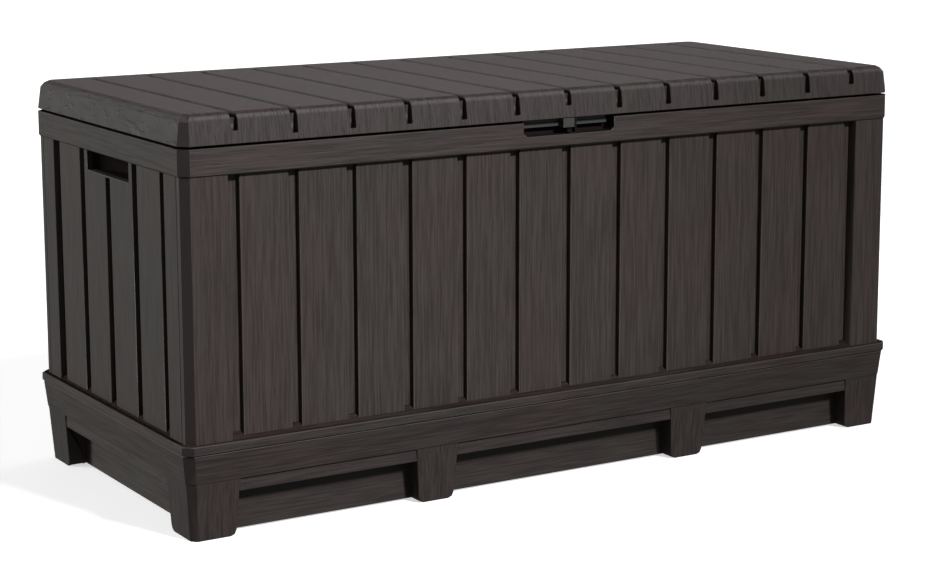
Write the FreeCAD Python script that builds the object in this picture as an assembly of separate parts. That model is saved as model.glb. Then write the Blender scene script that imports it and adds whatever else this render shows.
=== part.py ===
"""Resin deck storage box: plinth with feet, slatted walls, rim frame and hinged slatted lid.

Units are millimetres. X runs along the length, the front faces -Y, Z is up. Everything is
drawn about the middle of the walls and moved at the end, so that the origin is on the ground
under the middle of the whole box, hinges included.
"""
import FreeCAD, Part

import math
import os

# Overall sizes
RIM_X = 632.0            # half length of the rim and of the lid
RIM_Y = 272.5            # half depth of the rim and of the lid
LID_TOP = 602.0
LID_BOTTOM = 558.5
RIM_TOP = 555.0
RIM_BOTTOM = 516.0
LIP_TOP = 140.5
LIP_BOTTOM = 126.5
BAND_BOTTOM = 84.5
STRIP_BOTTOM = 65.5
SKIRT_BOTTOM = 3.0
LIP_OUT = 6.0            # how far the lower lip stands out past the rim
LIP_SEAM = (2.0, 1.2)    # joint line under the lip, depth and height
BAND_TOP_OUT = 4.3
FOOT_TOP_IN = 1.0
FOOT_BOTTOM_IN = 7.0
STRIP_IN = 3.3
CORNER = 13.0            # corner chamfer of the rim, the lip and the lid
WALL_CORNER = 11.0
FOOT_CORNER = 9.0
WALL = 2.8               # moulded wall thickness

# Slatted walls
STILE_IN = 2.5           # stile face behind the rim face
PITCH = 91.6             # front planks, and the lid's slats
GROOVE = 15.5
GROOVES = 13
PLANK_IN = 8.0
FLOOR_IN = 16.0          # groove floor behind the rim face
STILE_DRAFT = 4.0        # slope of the stile's inner side
END_PITCH = 98.0
END_GROOVE = 17.0
END_GROOVES = 5
END_PLANK_IN = 5.0
END_FLOOR_IN = 13.0
RETURN = 11.0            # how far the front and back walls wrap onto the ends
SEAM = 0.6
SILL_RISE = 9.5
TONGUE_TOP = 549.0
SHELF_TOP = STRIP_BOTTOM + WALL   # ledge inside the plinth that carries the walls

# Rim frame
RIM_WIDTH = 25.0
FLANGE = 12.0
RECESS_HALF = 81.0
RECESS_BOTTOM = 534.0
RECESS_CORNER = 6.0

# Plinth
SKIRT_X = 597.0
SKIRT_Y = 241.0
FOOT_SPACING = 230.6     # middle feet, from the centre
FOOT_TOP_HALF = 35.7
FOOT_BOTTOM_HALF = 30.2
CORNER_FOOT_TOP = 552.3
CORNER_FOOT_BOTTOM = 557.0
END_FOOT = 192.0
FOOT_ROUND = 9.0

# Handle pockets
HANDLE_HALF = 77.5
HANDLE_BOTTOM = 485.5
HANDLE_DEPTH = 36.0
CUP_WALL = 3.0

# Lid
LID_LEAN = 4.5
LID_SHOULDER = 592.0
LID_EDGE = 598.5
SLOT = 10.0              # gap between two lid slats
SLOT_DEPTH = 8.0
NOTCH_DEPTH = 12.0
NOTCH_ROUND = 2.5
NOTCH_BOTTOM = 567.0
SHORT_NOTCH_BOTTOM = 576.0
SHORT_NOTCHES = (0, 6, 12)   # the two outer notches and the middle one
BACK_BORDER = 235.0      # where the lid's slots stop
LINER_BOTTOM = 564.0

# Hinges
HINGE_X = (-420.0, 0.0, 420.0)
HINGE_NAMES = ("left", "centre", "right")
AXIS_Y = RIM_Y + 10.0
AXIS_Z = 557.0
KNUCKLE_R = 8.5
PIN_R = 3.0
RUNNING = 0.05           # radial clearance on the pins
HINGE_HALF = 45.0
LEAF_HALF = 23.4
BASE_THICK = 3.0
BASE_TOP = 551.5
BASE_BOTTOM = 519.0
LID_OPEN = 100.0         # degrees
REAR = AXIS_Y + 11.03    # rearmost point, the heel of a hinge leaf
ORIGIN_Y = (REAR - RIM_Y - LIP_OUT) / 2

# Pull lip and padlock lugs
BAR_HALF = 75.0
BAR_FACE = -RIM_Y + 12.5
BAR_THICK = 4.0
BAR_BOTTOM = 545.5
BAR_STEP = (1.5, 6.5)    # set-back of the bar's upper part, and where it starts
TAB_HALF = 10.0
TAB_DEPTH = 9.0
LOCK_Y = BAR_FACE - 6.0
LOCK_Z = 550.5
LOCK_R = 3.5
LUG = (11.0, 14.0)       # the keeper's lug, just right of the tab

# Screws
SCREW_R = 2.0
HEAD_R = 4.0
HEAD_H = 2.0

V = FreeCAD.Vector
X_AXIS = V(1, 0, 0)
Y_AXIS = V(0, 1, 0)
Z_AXIS = V(0, 0, 1)


def block(x0, x1, y0, y1, z0, z1):
    """Box between two corners."""
    return Part.makeBox(x1 - x0, y1 - y0, z1 - z0, V(x0, y0, z0))


def prism(points, along):
    """Solid swept from a closed outline of vectors."""
    face = Part.Face(Part.makePolygon(points + [points[0]]))
    return face.extrude(along)


def plan(points, z0, z1):
    """Upright prism from (x, y) points."""
    return prism([V(x, y, z0) for x, y in points], V(0, 0, z1 - z0))


def side(points, x0, x1):
    """Prism along X from (y, z) points."""
    return prism([V(x0, y, z) for y, z in points], V(x1 - x0, 0, 0))


def front(points, y0, y1):
    """Prism along Y from (x, z) points."""
    return prism([V(x, y0, z) for x, z in points], V(0, y1 - y0, 0))


def octagon(half_x, half_y, corner):
    """Rectangle with cut corners, anticlockwise from the front left."""
    a = half_x - corner
    b = half_y - corner
    return [(-a, -half_y), (a, -half_y), (half_x, -b), (half_x, b),
            (a, half_y), (-a, half_y), (-half_x, b), (-half_x, -b)]


def tapered(levels):
    """Closed solid through octagons given as (z, half_x, half_y, corner), lowest first."""
    rings = [[V(x, y, z) for x, y in octagon(hx, hy, c)] for z, hx, hy, c in levels]
    faces = [Part.Face(Part.makePolygon(ring + [ring[0]])) for ring in (rings[0], rings[-1])]
    for low, high in zip(rings, rings[1:]):
        for i in range(len(low)):
            j = (i + 1) % len(low)
            faces.append(Part.Face(Part.makePolygon([low[i], low[j], high[j], high[i], low[i]])))
    solid = Part.Solid(Part.Shell(faces))
    if solid.Volume < 0:
        solid.reverse()
    return solid


def union(shapes):
    """One shape fused from several."""
    return shapes[0].multiFuse(shapes[1:]).removeSplitter()


def minus(shape, tools):
    """A shape with several others cut away."""
    return shape.cut(Part.makeCompound(tools))


def mirrored(shape, normal):
    """Copy on the other side of the middle plane with this normal."""
    return shape.mirror(V(0, 0, 0), normal)


def both_sides(shape, normal):
    """A shape and its mirror image."""
    return [shape, mirrored(shape, normal)]


def rod(radius, start, length, along):
    """Cylinder from a point along a direction."""
    return Part.makeCylinder(radius, length, start, along)


def groove_centres(pitch, count):
    """Centres of evenly spaced grooves about zero."""
    return [(k - (count - 1) / 2) * pitch for k in range(count)]


# Slatted walls. A wall is drawn as (u, v): u along it, v outwards from the box's middle.

def wall_outline(pitch, groove, count, rim, plank_in, floor_in):
    """Outer and inner half outlines of the planks between the two stiles."""
    outer = []
    inner = []
    centres = groove_centres(pitch, count)
    for left, right in zip(centres, centres[1:]):
        a = left + groove / 2
        b = right - groove / 2
        outer += [(a, rim - floor_in), (a, rim - plank_in), (b, rim - plank_in), (b, rim - floor_in)]
        inner += [(a + WALL, rim - floor_in - WALL), (a + WALL, rim - plank_in - WALL),
                  (b - WALL, rim - plank_in - WALL), (b - WALL, rim - floor_in - WALL)]
    edge = -centres[0] + groove / 2
    return outer, inner, edge


def long_wall():
    """Front wall: stiles, planks, wrapped corners, end caps and tongues."""
    outer, inner, edge = wall_outline(PITCH, GROOVE, GROOVES, RIM_Y, PLANK_IN, FLOOR_IN)
    face = RIM_Y - STILE_IN
    end = RIM_X - STILE_IN
    floor = RIM_Y - FLOOR_IN
    back = floor - WALL
    bend = WALL * math.tan(math.radians(22.5))
    corner_out = [(edge, floor), (edge + STILE_DRAFT, face), (end - WALL_CORNER, face),
                  (end, face - WALL_CORNER), (end, face - WALL_CORNER - RETURN)]
    corner_in = [(end - WALL, face - WALL_CORNER - RETURN), (end - WALL, face - WALL_CORNER - bend),
                 (end - WALL_CORNER - bend, face - WALL),
                 (edge + STILE_DRAFT + WALL, face - WALL), (edge + WALL, back)]
    left_out = [(-u, v) for u, v in reversed(corner_out)]
    left_in = [(-u, v) for u, v in reversed(corner_in)]
    skin = left_out + outer + corner_out
    shell = skin + corner_in + inner[::-1] + left_in
    cap = skin + [(end - WALL, face - WALL_CORNER - RETURN), (end - WALL, back),
                  (WALL - end, back), (WALL - end, face - WALL_CORNER - RETURN)]
    flip = lambda points: [(u, -v) for u, v in points]
    sill = [(-face, LIP_TOP), (-floor, LIP_TOP + SILL_RISE), (-floor, LIP_TOP)]
    tongue = end - 2 * WALL_CORNER
    parts = [plan(flip(shell), LIP_TOP, RIM_BOTTOM),
             plan(flip(cap), RIM_BOTTOM - WALL, RIM_BOTTOM),
             plan(flip(cap), LIP_TOP, LIP_TOP + WALL),
             side(sill, -edge - STILE_DRAFT, edge + STILE_DRAFT),
             block(-tongue, tongue, -floor, -back, RIM_BOTTOM, TONGUE_TOP),
             block(-tongue, tongue, -floor, -back, SHELF_TOP, LIP_TOP)]
    return union(parts)


def front_panel():
    """Front wall, its top tongue notched under the finger recess."""
    half = RECESS_HALF + 2 * WALL
    notch = block(-half, half, -RIM_Y, -RIM_Y + RIM_WIDTH, RECESS_BOTTOM - 2 * WALL, TONGUE_TOP + 1)
    return minus(long_wall(), [notch])


def back_panel():
    """Back wall, the front wall's mirror image with a plain tongue."""
    return mirrored(long_wall(), Y_AXIS)


def left_end_panel():
    """End wall with a window for the handle pocket."""
    outer, inner, edge = wall_outline(END_PITCH, END_GROOVE, END_GROOVES, RIM_X,
                                      END_PLANK_IN, END_FLOOR_IN)
    face = RIM_X - STILE_IN
    floor = RIM_X - END_FLOOR_IN
    back = floor - WALL
    limit = RIM_Y - STILE_IN - WALL_CORNER - RETURN - SEAM
    right_out = [(edge, floor), (edge + WALL / 2, face), (limit, face)]
    right_in = [(limit, face - WALL), (edge + 1.5 * WALL, face - WALL), (edge + WALL, back)]
    left_out = [(-u, v) for u, v in reversed(right_out)]
    left_in = [(-u, v) for u, v in reversed(right_in)]
    skin = left_out + outer + right_out
    shell = skin + right_in + inner[::-1] + left_in
    cap = skin + [(limit, back), (-limit, back)]
    turn = lambda points: [(-v, u) for u, v in points]
    sill = [(-face, LIP_TOP), (-floor, LIP_TOP + SILL_RISE), (-floor, LIP_TOP)]
    ledge = front([(x, z) for x, z in sill], -edge, edge)
    frame = HANDLE_HALF + WALL
    parts = [plan(turn(shell), LIP_TOP, RIM_BOTTOM),
             plan(turn(cap), RIM_BOTTOM - WALL, RIM_BOTTOM),
             plan(turn(cap), LIP_TOP, LIP_TOP + WALL),
             ledge,
             block(-floor, -back, -limit, limit, RIM_BOTTOM, TONGUE_TOP),
             block(-floor, -back, -limit, limit, SHELF_TOP, LIP_TOP),
             block(-RIM_X + END_PLANK_IN, -back, -frame, frame, HANDLE_BOTTOM - WALL, RIM_BOTTOM)]
    window = block(-RIM_X, -back + 1, -HANDLE_HALF, HANDLE_HALF, HANDLE_BOTTOM, RIM_BOTTOM + 1)
    tongue_gap = block(-RIM_X, -back + 1, -frame, frame, RIM_BOTTOM, TONGUE_TOP + 1)
    return minus(union(parts), [window, tongue_gap])


def arc_pocket(half, sag, mouth, z0, z1):
    """Upright solid between the plane x = mouth and a curved back, sag deep in the middle."""
    ends = [V(mouth, -half, z0), V(mouth, half, z0)]
    curve = Part.Arc(ends[0], V(mouth + sag, 0, z0), ends[1]).toShape()
    chord = Part.makeLine(ends[1], ends[0])
    return Part.Face(Part.Wire([curve, chord])).extrude(V(0, 0, z1 - z0))


def left_handle_cup():
    """Curved cup that closes the handle window from inside."""
    back = -RIM_X + END_FLOOR_IN + WALL
    depth = HANDLE_DEPTH - END_FLOOR_IN - WALL + END_PLANK_IN
    top = RIM_BOTTOM - SEAM
    shell = arc_pocket(HANDLE_HALF + CUP_WALL, depth + CUP_WALL, back, HANDLE_BOTTOM - CUP_WALL, top)
    flange = 2 * CUP_WALL + HANDLE_HALF
    lip = block(back, back + CUP_WALL, -flange, flange, HANDLE_BOTTOM - 2 * CUP_WALL, top)
    hollow = arc_pocket(HANDLE_HALF, depth, back, HANDLE_BOTTOM, top - CUP_WALL)
    return minus(union([shell, lip]), [hollow])


def corner_connector():
    """Angle that ties the front wall to the left end, standing in their hollow stiles."""
    gap = 0.5
    end = RIM_X - STILE_IN - WALL - gap
    face = RIM_Y - STILE_IN - WALL - gap
    leg = 40.0
    thick = 8.0
    points = [(-end, -face + leg), (-end, -face + WALL_CORNER), (-end + WALL_CORNER, -face),
              (-end + leg, -face), (-end + leg, -face + thick),
              (-end + WALL_CORNER + thick / 2, -face + thick), (-end + thick, -face + WALL_CORNER + thick / 2),
              (-end + thick, -face + leg)]
    return plan(points, LIP_TOP + WALL, RIM_BOTTOM - WALL)


# Frames round the walls

def ring_void(outer_in, inner_in, z0, z1):
    """Space between two rectangles set in from the rim face."""
    outer = tapered([(z0, RIM_X - outer_in, RIM_Y - outer_in, CORNER), (z1, RIM_X - outer_in, RIM_Y - outer_in, CORNER)])
    inner = block(-RIM_X + inner_in, RIM_X - inner_in, -RIM_Y + inner_in, RIM_Y - inner_in, z0 - 1, z1 + 1)
    return outer.cut(inner)


def rim_frame():
    """Top frame: a channel open downwards, with the finger recess in its front."""
    bevel = 2.0
    body = tapered([(RIM_BOTTOM, RIM_X - bevel, RIM_Y - bevel, CORNER - bevel / 2),
                    (RIM_BOTTOM + bevel, RIM_X, RIM_Y, CORNER),
                    (RIM_TOP, RIM_X, RIM_Y, CORNER)])
    opening = block(-RIM_X + RIM_WIDTH, RIM_X - RIM_WIDTH, -RIM_Y + RIM_WIDTH, RIM_Y - RIM_WIDTH,
                    RIM_BOTTOM - 1, RIM_TOP + 1)
    channel = ring_void(WALL, RIM_WIDTH - WALL, RIM_BOTTOM + WALL, RIM_TOP - WALL)
    slot = ring_void(FLANGE, RIM_WIDTH - WALL, RIM_BOTTOM - 1, RIM_BOTTOM + WALL)
    frame = minus(body, [opening, channel, slot])
    tub_half = RECESS_HALF + WALL
    tub = block(-tub_half, tub_half, -RIM_Y + WALL / 2, -RIM_Y + RIM_WIDTH - WALL / 2,
                RECESS_BOTTOM - WALL, RIM_TOP - WALL / 2)
    low = RECESS_HALF - RECESS_CORNER
    mouth = [(-RECESS_HALF, RIM_TOP + 1), (-RECESS_HALF, RECESS_BOTTOM + RECESS_CORNER), (-low, RECESS_BOTTOM),
             (low, RECESS_BOTTOM), (RECESS_HALF, RECESS_BOTTOM + RECESS_CORNER), (RECESS_HALF, RIM_TOP + 1)]
    recess = front(mouth, -RIM_Y - 1, -RIM_Y + RIM_WIDTH - WALL)
    screws = keeper_screws() + [screw for x in HINGE_X for screw in base_screws(x)]
    return minus(union([frame, tub]), [recess] + screws)


def lower_frame():
    """Lip between the walls and the plinth, an angle section turned down."""
    bevel = 1.5
    half_x = RIM_X + LIP_OUT
    half_y = RIM_Y + LIP_OUT
    deep, high = LIP_SEAM
    body = tapered([(LIP_BOTTOM, half_x - deep, half_y - deep, CORNER),
                    (LIP_BOTTOM + high, half_x - deep, half_y - deep, CORNER),
                    (LIP_BOTTOM + high, half_x, half_y, CORNER), (LIP_TOP - bevel, half_x, half_y, CORNER),
                    (LIP_TOP, half_x - bevel, half_y - bevel, CORNER - bevel / 2)])
    opening = block(-RIM_X + END_FLOOR_IN, RIM_X - END_FLOOR_IN, -RIM_Y + FLOOR_IN, RIM_Y - FLOOR_IN,
                    LIP_BOTTOM - 1, LIP_TOP + 1)
    under = tapered([(LIP_BOTTOM - 1, half_x - WALL, half_y - WALL, CORNER),
                     (LIP_TOP - WALL, half_x - WALL, half_y - WALL, CORNER)])
    return minus(body, [opening, under])


def foot_gap(left_top, left_bottom, right_top, right_bottom, z_top):
    """Outline of the space between two feet up to a height; the feet's sides slope up to the band."""
    share = (z_top - FOOT_ROUND) / (BAND_BOTTOM - FOOT_ROUND)
    left = left_bottom + share * (left_top - left_bottom)
    right = right_bottom + share * (right_top - right_bottom)
    points = [(left, z_top), (right, z_top), (right_bottom, FOOT_ROUND)]
    points += [(right_bottom + FOOT_ROUND * (1 - math.cos(a)), FOOT_ROUND * (1 - math.sin(a)))
               for a in (math.radians(45), math.radians(90))]
    points += [(right_bottom + FOOT_ROUND, -1.0), (left_bottom - FOOT_ROUND, -1.0)]
    points += [(left_bottom - FOOT_ROUND * (1 - math.cos(a)), FOOT_ROUND * (1 - math.sin(a)))
               for a in (math.radians(90), math.radians(45))]
    points.append((left_bottom, FOOT_ROUND))
    return points


def front_gaps(z_top):
    """Outlines of the three spaces between the four front feet."""
    middle = (-FOOT_SPACING + FOOT_TOP_HALF, -FOOT_SPACING + FOOT_BOTTOM_HALF,
              FOOT_SPACING - FOOT_TOP_HALF, FOOT_SPACING - FOOT_BOTTOM_HALF)
    left = (-CORNER_FOOT_TOP, -CORNER_FOOT_BOTTOM,
            -FOOT_SPACING - FOOT_TOP_HALF, -FOOT_SPACING - FOOT_BOTTOM_HALF)
    right = tuple(-x for x in (left[2], left[3], left[0], left[1]))
    return [foot_gap(*edges, z_top) for edges in (left, middle, right)]


def plinth():
    """Base moulding: sloped band, eight feet, set-back skirt and the ledge for the walls."""
    band = tapered([(BAND_BOTTOM, RIM_X, RIM_Y, CORNER - 1.0),
                    (LIP_BOTTOM, RIM_X + BAND_TOP_OUT, RIM_Y + BAND_TOP_OUT, CORNER)])
    feet = tapered([(0.0, RIM_X - FOOT_BOTTOM_IN, RIM_Y - FOOT_BOTTOM_IN, FOOT_CORNER),
                    (BAND_BOTTOM, RIM_X - FOOT_TOP_IN, RIM_Y - FOOT_TOP_IN, WALL_CORNER)])
    end_gap = foot_gap(-END_FOOT, -END_FOOT - 2.0, END_FOOT, END_FOOT + 2.0, STRIP_BOTTOM)
    end_strip = foot_gap(-END_FOOT, -END_FOOT - 2.0, END_FOOT, END_FOOT + 2.0, BAND_BOTTOM)
    cuts = []
    for outline in front_gaps(STRIP_BOTTOM):
        cuts += both_sides(front(outline, -RIM_Y - 1, -SKIRT_Y), Y_AXIS)
    for outline in front_gaps(BAND_BOTTOM):
        cuts += both_sides(front(outline, -RIM_Y - 1, -RIM_Y + STRIP_IN), Y_AXIS)
    cuts += both_sides(side(end_gap, -RIM_X - 1, -SKIRT_X), X_AXIS)
    cuts += both_sides(side(end_strip, -RIM_X - 1, -RIM_X + STRIP_IN), X_AXIS)
    body = minus(union([band, feet]), cuts)
    hollow_low = block(-SKIRT_X + WALL, SKIRT_X - WALL, -SKIRT_Y + WALL, SKIRT_Y - WALL,
                       SKIRT_BOTTOM + WALL, SHELF_TOP + 1)
    hollow_high = tapered([(SHELF_TOP, RIM_X - STRIP_IN - WALL, RIM_Y - STRIP_IN - WALL, WALL_CORNER),
                           (LIP_BOTTOM + 1, RIM_X + BAND_TOP_OUT - WALL, RIM_Y + BAND_TOP_OUT - WALL, CORNER)])
    ledge = 16.0
    ground = block(-SKIRT_X + ledge, SKIRT_X - ledge, -SKIRT_Y + ledge, SKIRT_Y - ledge,
                   -1.0, SKIRT_BOTTOM + WALL + 1)
    raised = block(-SKIRT_X, SKIRT_X, -SKIRT_Y, SKIRT_Y, -1.0, SKIRT_BOTTOM)
    return minus(body, [hollow_low, hollow_high, ground, raised] + foot_pockets())


def foot_pockets():
    """Hollows in the feet, open downwards."""
    top = BAND_BOTTOM - 2 * WALL
    skin = FOOT_BOTTOM_IN + WALL + 1.0
    pockets = []
    for x in (-FOOT_SPACING, FOOT_SPACING):
        half = FOOT_BOTTOM_HALF - WALL
        pocket = block(x - half, x + half, -RIM_Y + skin, -SKIRT_Y - WALL, -1.0, STRIP_BOTTOM)
        pockets += both_sides(pocket, Y_AXIS)
    along = block(-RIM_X + skin + FOOT_CORNER, -CORNER_FOOT_BOTTOM - 2 * WALL,
                  -RIM_Y + skin, -SKIRT_Y - WALL, -1.0, top)
    across = block(-RIM_X + skin, -SKIRT_X - WALL, -RIM_Y + skin + FOOT_CORNER,
                   -END_FOOT - 2 * WALL, -1.0, top)
    corner = union([along, across])
    for shape in both_sides(corner, X_AXIS):
        pockets += both_sides(shape, Y_AXIS)
    return pockets


def floor_panel():
    """Floor plate on ribs that stand on the plinth's inner flange."""
    gap = 1.0
    half_x = SKIRT_X - WALL - gap
    half_y = SKIRT_Y - WALL - gap
    low = SKIRT_BOTTOM + WALL
    plate_bottom = 16.0
    plate = block(-half_x, half_x, -half_y, half_y, plate_bottom, plate_bottom + WALL)
    ribs = [block(-half_x, half_x, y - 1.5, y + 1.5, low, plate_bottom)
            for y in (-half_y + 1.5, -120.0, 0.0, 120.0, half_y - 1.5)]
    ribs += [block(x - 1.5, x + 1.5, -half_y, half_y, low, plate_bottom)
             for x in [-half_x + 1.5] + groove_centres(147.5, 7) + [half_x - 1.5]]
    return union([plate] + ribs)


# Hinges and lock

def at_hinge(shape, x):
    """Move a piece drawn about x = 0 to its hinge."""
    return shape.translated(V(x, 0, 0))


def base_screws(x):
    """Four screws that hold a hinge base to the rim."""
    length = 12.0
    face = RIM_Y + BASE_THICK
    screws = []
    for dx in (-34.0, 34.0):
        for z in (BASE_BOTTOM + 6.0, BASE_TOP - 11.0):
            shank = rod(SCREW_R, V(x + dx, face - length, z), length, Y_AXIS)
            head = rod(HEAD_R, V(x + dx, face - HEAD_H / 2, z), HEAD_H, Y_AXIS)
            screws.append(union([shank, head]))
    return screws


def hinge_base(x):
    """Plate on the rim with two knuckles and their webs."""
    plate = block(-HINGE_HALF, HINGE_HALF, RIM_Y, RIM_Y + BASE_THICK, BASE_BOTTOM, BASE_TOP)
    parts = [plate]
    web = [(RIM_Y, BASE_BOTTOM + 24.0), (AXIS_Y + KNUCKLE_R * 0.6, AXIS_Z - KNUCKLE_R * 0.8),
           (AXIS_Y, AXIS_Z), (RIM_Y, BASE_TOP)]
    for x0, x1 in ((-HINGE_HALF, -LEAF_HALF - SEAM), (LEAF_HALF + SEAM, HINGE_HALF)):
        parts.append(rod(KNUCKLE_R, V(x0, AXIS_Y, AXIS_Z), x1 - x0, X_AXIS))
        parts.append(side(web, x0, x1))
    bore = rod(PIN_R + RUNNING, V(-HINGE_HALF - 1, AXIS_Y, AXIS_Z), 2 * HINGE_HALF + 2, X_AXIS)
    return at_hinge(minus(union(parts), [bore]), x).cut(Part.makeCompound(base_screws(x)))


def hinge_pin(x):
    """Pin with a head at each end."""
    half = HINGE_HALF + 0.3
    head = 1.6
    pin = rod(PIN_R, V(-half, AXIS_Y, AXIS_Z), 2 * half, X_AXIS)
    heads = [rod(PIN_R * 1.6, V(start, AXIS_Y, AXIS_Z), head, X_AXIS) for start in (-half - head, half)]
    return at_hinge(union([pin] + heads), x)


def leaf_screws(x):
    """Two screws up through a hinge leaf into the lid liner."""
    screws = []
    for dx in (-13.0, 13.0):
        shank = rod(SCREW_R, V(x + dx, RIM_Y - 26.0, LID_BOTTOM + HEAD_H), 9.0, Z_AXIS)
        head = rod(HEAD_R, V(x + dx, RIM_Y - 26.0, LID_BOTTOM + 0.5), HEAD_H, Z_AXIS)
        screws.append(union([shank, head]))
    return screws


def hinge_leaf(x):
    """Knuckle and arm under the lid, with the heel that stops the lid when open."""
    arm = block(-LEAF_HALF + 1, LEAF_HALF - 1, RIM_Y - 36.0, AXIS_Y, LID_BOTTOM + 0.5, LINER_BOTTOM)
    knuckle = rod(KNUCKLE_R, V(-LEAF_HALF, AXIS_Y, AXIS_Z), 2 * LEAF_HALF, X_AXIS)
    gap = 0.2
    stop = RIM_Y + BASE_THICK + gap
    heel = side([(stop, AXIS_Z - 3.0), (stop, AXIS_Z - 10.0), (AXIS_Y - 3.5, AXIS_Z - 10.5),
                 (AXIS_Y, AXIS_Z - 7.0)], -LEAF_HALF, LEAF_HALF)
    heel.rotate(V(0, AXIS_Y, AXIS_Z), X_AXIS, LID_OPEN)
    bore = rod(PIN_R + RUNNING, V(-LEAF_HALF - 1, AXIS_Y, AXIS_Z), 2 * LEAF_HALF + 2, X_AXIS)
    return at_hinge(minus(union([arm, knuckle, heel]), [bore]), x).cut(Part.makeCompound(leaf_screws(x)))


def pull_lip():
    """Bar under the lid's front edge to lift it by, with a foot cut round the lid's rib."""
    back = BAR_FACE + BAR_THICK
    bar = block(-BAR_HALF, BAR_HALF, BAR_FACE, back, BAR_BOTTOM, LID_BOTTOM)
    foot = block(-BAR_HALF, BAR_HALF, BAR_FACE, back + 5.0, LID_BOTTOM, LID_BOTTOM + WALL)
    rib = SLOT / 2 + 2 * WALL
    clearance = block(-rib, rib, BAR_FACE - 1, BAR_FACE + WALL + 1, LID_BOTTOM, LID_BOTTOM + WALL + 1)
    step = block(-BAR_HALF - 1, BAR_HALF + 1, BAR_FACE - 1, BAR_FACE + BAR_STEP[0],
                 BAR_BOTTOM + BAR_STEP[1], LID_BOTTOM)
    return minus(union([bar, foot]), [clearance, step])


def lock_tab():
    """Lug on the lid with a hole for a padlock."""
    y0 = LOCK_Y - TAB_DEPTH / 2
    tab = block(-TAB_HALF, TAB_HALF, y0, y0 + TAB_DEPTH, BAR_BOTTOM - 2.0, LID_BOTTOM)
    return tab.cut(rod(LOCK_R, V(-TAB_HALF - 1, LOCK_Y, LOCK_Z), 2 * TAB_HALF + 2, X_AXIS))


def keeper_screws():
    """Two screws that hold the keeper to the recess floor."""
    screws = []
    for x in (LUG[0] - 6.0, LUG[1] + 6.0):
        shank = rod(SCREW_R * 0.75, V(x, LOCK_Y, RECESS_BOTTOM - WALL), 4.5, Z_AXIS)
        head = rod(HEAD_R * 0.6, V(x, LOCK_Y, RECESS_BOTTOM + 1.0), 1.5, Z_AXIS)
        screws.append(union([shank, head]))
    return screws


def lock_keeper():
    """Plate on the recess floor with the lug that lines up with the lid's tab."""
    y0 = LOCK_Y - TAB_DEPTH / 2
    plate = block(LUG[0] - 10.0, LUG[1] + 10.0, y0, y0 + TAB_DEPTH, RECESS_BOTTOM, RECESS_BOTTOM + 2.0)
    lug = block(LUG[0], LUG[1], y0, y0 + TAB_DEPTH, RECESS_BOTTOM, LID_BOTTOM - 1.5)
    hole = rod(LOCK_R, V(LUG[0] - 1, LOCK_Y, LOCK_Z), LUG[1] - LUG[0] + 2, X_AXIS)
    return minus(union([plate, lug]), [hole] + keeper_screws())


# Lid

def lid_outer():
    """Outside of the lid: leaning sides and an eased top edge."""
    return tapered([(LID_BOTTOM, RIM_X, RIM_Y, CORNER),
                    (LID_SHOULDER, RIM_X - LID_LEAN, RIM_Y - LID_LEAN, CORNER - 3.0),
                    (LID_EDGE, RIM_X - 2 * LID_LEAN, RIM_Y - 2 * LID_LEAN, CORNER - 4.0),
                    (LID_TOP, RIM_X - 15.0, RIM_Y - 15.0, CORNER - 5.0)])


def lid_slot(x, bottom):
    """Gap between two slats, over the top and down the front to a height."""
    half = SLOT / 2
    flat = half - NOTCH_ROUND
    shoulder = bottom + NOTCH_ROUND
    y0 = -RIM_Y - 1
    y1 = -RIM_Y + NOTCH_DEPTH
    parts = [block(x - half, x + half, y0, BACK_BORDER, LID_TOP - SLOT_DEPTH, LID_TOP + 1),
             block(x - half, x + half, y0, y1, shoulder, LID_TOP + 1),
             block(x - flat, x + flat, y0, y1, bottom, shoulder)]
    parts += [rod(NOTCH_ROUND, V(x + dx, y0, shoulder), y1 - y0, Y_AXIS) for dx in (-flat, flat)]
    return union(parts)


def lid_shell():
    """Slatted lid moulding, hollow under every slat."""
    centres = groove_centres(PITCH, GROOVES)
    rib = SLOT / 2 + WALL
    inset = 2 * LID_LEAN + WALL
    edges = [-RIM_X + inset] + [edge for x in centres for edge in (x - rib, x + rib)] + [RIM_X - inset]
    room = tapered([(z, RIM_X - inset, RIM_Y - inset, CORNER - 3.0) for z in (LID_BOTTOM - 1, LID_TOP - WALL)])
    pockets = [block(x0, x1, -RIM_Y + inset, RIM_Y - inset, LID_BOTTOM - 1, LID_TOP - WALL).common(room)
               for x0, x1 in zip(edges[::2], edges[1::2])]
    deep = NOTCH_DEPTH + WALL
    hollow = block(-RIM_X + inset, RIM_X - inset, -RIM_Y + deep, RIM_Y - deep,
                   LID_BOTTOM - 1, LID_TOP - SLOT_DEPTH - WALL).common(room)
    windows = [block(x - LEAF_HALF - 1, x + LEAF_HALF + 1, 0.0, RIM_Y + 1, LID_BOTTOM - 1, LINER_BOTTOM)
               for x in HINGE_X]
    slots = [lid_slot(x, SHORT_NOTCH_BOTTOM if k in SHORT_NOTCHES else NOTCH_BOTTOM)
             for k, x in enumerate(centres)]
    return minus(lid_outer(), slots + pockets + [hollow] + windows)


def lid_liner():
    """Flat inner skin of the lid with stiffening ribs above it."""
    half_x = RIM_X - NOTCH_DEPTH - 2 * WALL
    half_y = RIM_Y - NOTCH_DEPTH - 2 * WALL
    top = LINER_BOTTOM + WALL
    plate = block(-half_x, half_x, -half_y, half_y, LINER_BOTTOM, top)
    ribs = [block(x - 1.5, x + 1.5, -half_y, half_y, top, LID_TOP - SLOT_DEPTH - 2 * WALL)
            for x in groove_centres(2 * PITCH, 7)]
    ribs += [block(-half_x, half_x, y - 1.5, y + 1.5, top, LINER_BOTTOM + 4 * WALL) for y in (-120.0, 0.0, 120.0)]
    return minus(union([plate] + ribs), [hole for x in HINGE_X for hole in leaf_screws(x)])


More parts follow.
